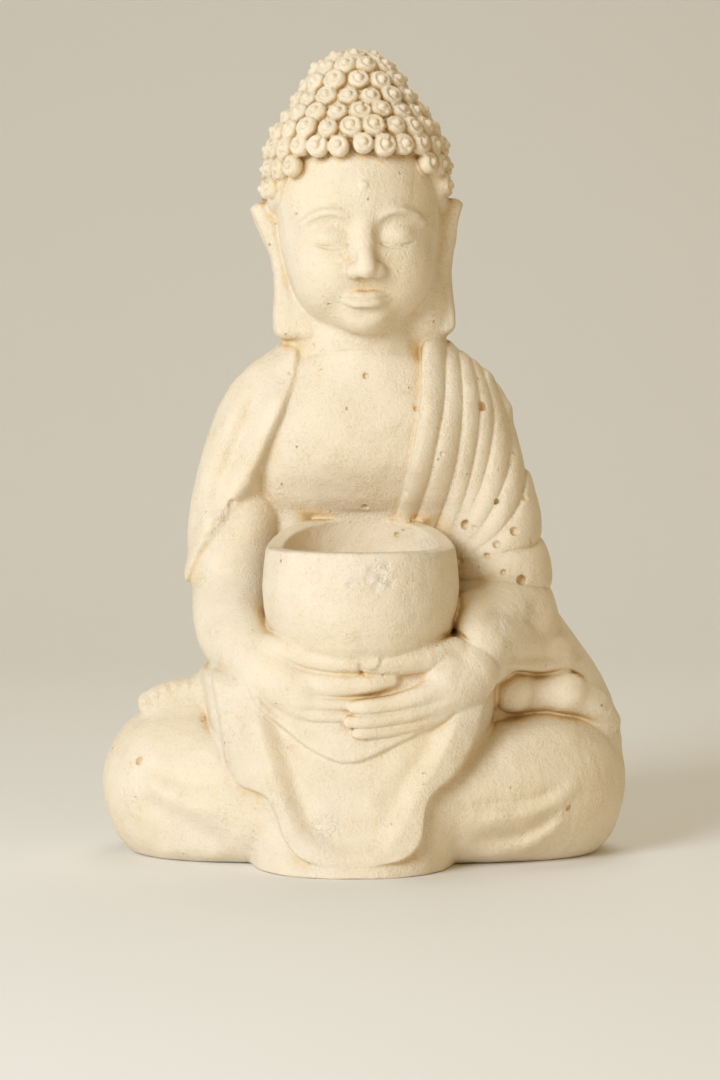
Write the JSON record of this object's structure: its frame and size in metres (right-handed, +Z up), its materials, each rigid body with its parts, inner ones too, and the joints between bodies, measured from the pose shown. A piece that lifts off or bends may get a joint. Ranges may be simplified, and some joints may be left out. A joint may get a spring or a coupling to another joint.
{
  "type": "seated buddha statue with tealight bowl",
  "caption": "Seated meditating figure in pale cast stone, with curled hair, long ears and pleated robe, holding an open bowl for a tealight in its lap.",
  "frame": {"origin": "on the ground plane under the middle of the figure, between its knees from side to side and near the vertical axis of its head", "axes": "+Z up, the figure faces -Y, and its left side is at +X"},
  "size_m": [0.1648, 0.11, 0.2507],
  "materials": {
    "cast_stone": "matte, warm cream with ochre in the recesses"
  },
  "bodies": {
    "root": {"bowl": "cast_stone", "left_hand": "cast_stone", "right_hand": "cast_stone", "right_ear": "cast_stone", "left_ear": "cast_stone", "urna": "cast_stone", "scalp": "cast_stone", "hair_curls": "cast_stone", "head": "cast_stone", "robe_right_collar": "cast_stone", "robe_left_collar": "cast_stone", "neck": "cast_stone", "robe_left_front": "cast_stone", "robe_right_shoulder": "cast_stone", "robe_left_shoulder": "cast_stone", "left_sleeve": "cast_stone", "right_forearm": "cast_stone", "left_forearm": "cast_stone", "apron_right_fold": "cast_stone", "apron_left_fold": "cast_stone", "apron": "cast_stone", "left_foot": "cast_stone", "right_foot": "cast_stone", "torso": "cast_stone", "robe_back": "cast_stone", "right_leg": "cast_stone", "left_leg": "cast_stone", "hips": "cast_stone"}
  },
  "joints": []
}
